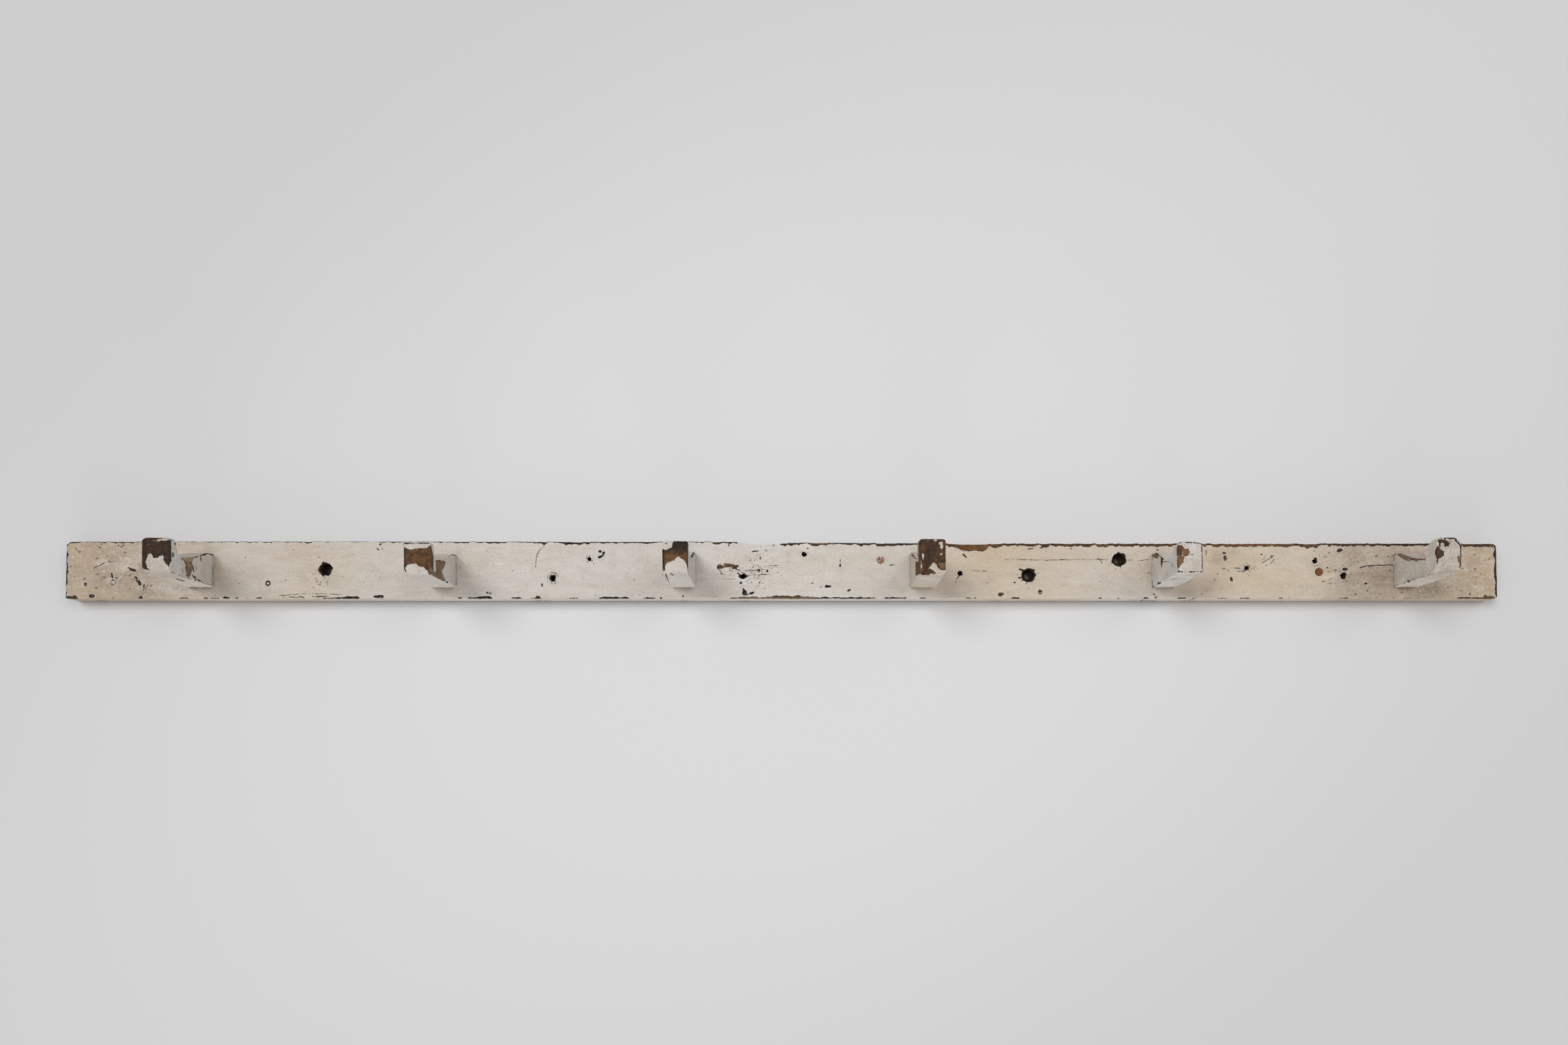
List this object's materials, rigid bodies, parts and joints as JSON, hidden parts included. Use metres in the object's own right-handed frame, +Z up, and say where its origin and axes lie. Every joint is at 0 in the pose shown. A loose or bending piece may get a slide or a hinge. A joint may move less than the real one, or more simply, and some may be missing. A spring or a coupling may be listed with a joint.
{
  "type": "wall coat rack",
  "caption": "Long narrow rustic wooden wall rack with hand-cut wooden coat hooks on a worn painted board, held to the wall by screws through counterbored holes.",
  "frame": {"origin": "centre of the board's back face, on the wall plane", "axes": "+X along the board to the right as one faces it, +Y into the wall, +Z up; the hooks stand out towards -Y"},
  "size_m": [1.7999, 0.1295, 0.072],
  "materials": {
    "painted_board": "old cream-white brushed paint, worn to bare brown wood at edges and chips",
    "painted_hook": "old white paint, worn to dark handled wood at the tip",
    "screw_steel": "dull steel, lightly oxidised",
    "rusty_nail": "brown rust"
  },
  "bodies": {
    "root": {"backboard": "painted_board", "hook_1": "painted_hook", "hook_1_screws": "screw_steel", "hook_2": "painted_hook", "hook_2_screws": "screw_steel", "hook_3": "painted_hook", "hook_3_screws": "screw_steel", "hook_4": "painted_hook", "hook_4_screws": "screw_steel", "hook_5": "painted_hook", "hook_5_screws": "screw_steel", "hook_6": "painted_hook", "hook_6_screws": "screw_steel", "old_nail_left": "rusty_nail", "old_nail_middle": "rusty_nail", "old_nail_right": "rusty_nail"}
  },
  "joints": []
}
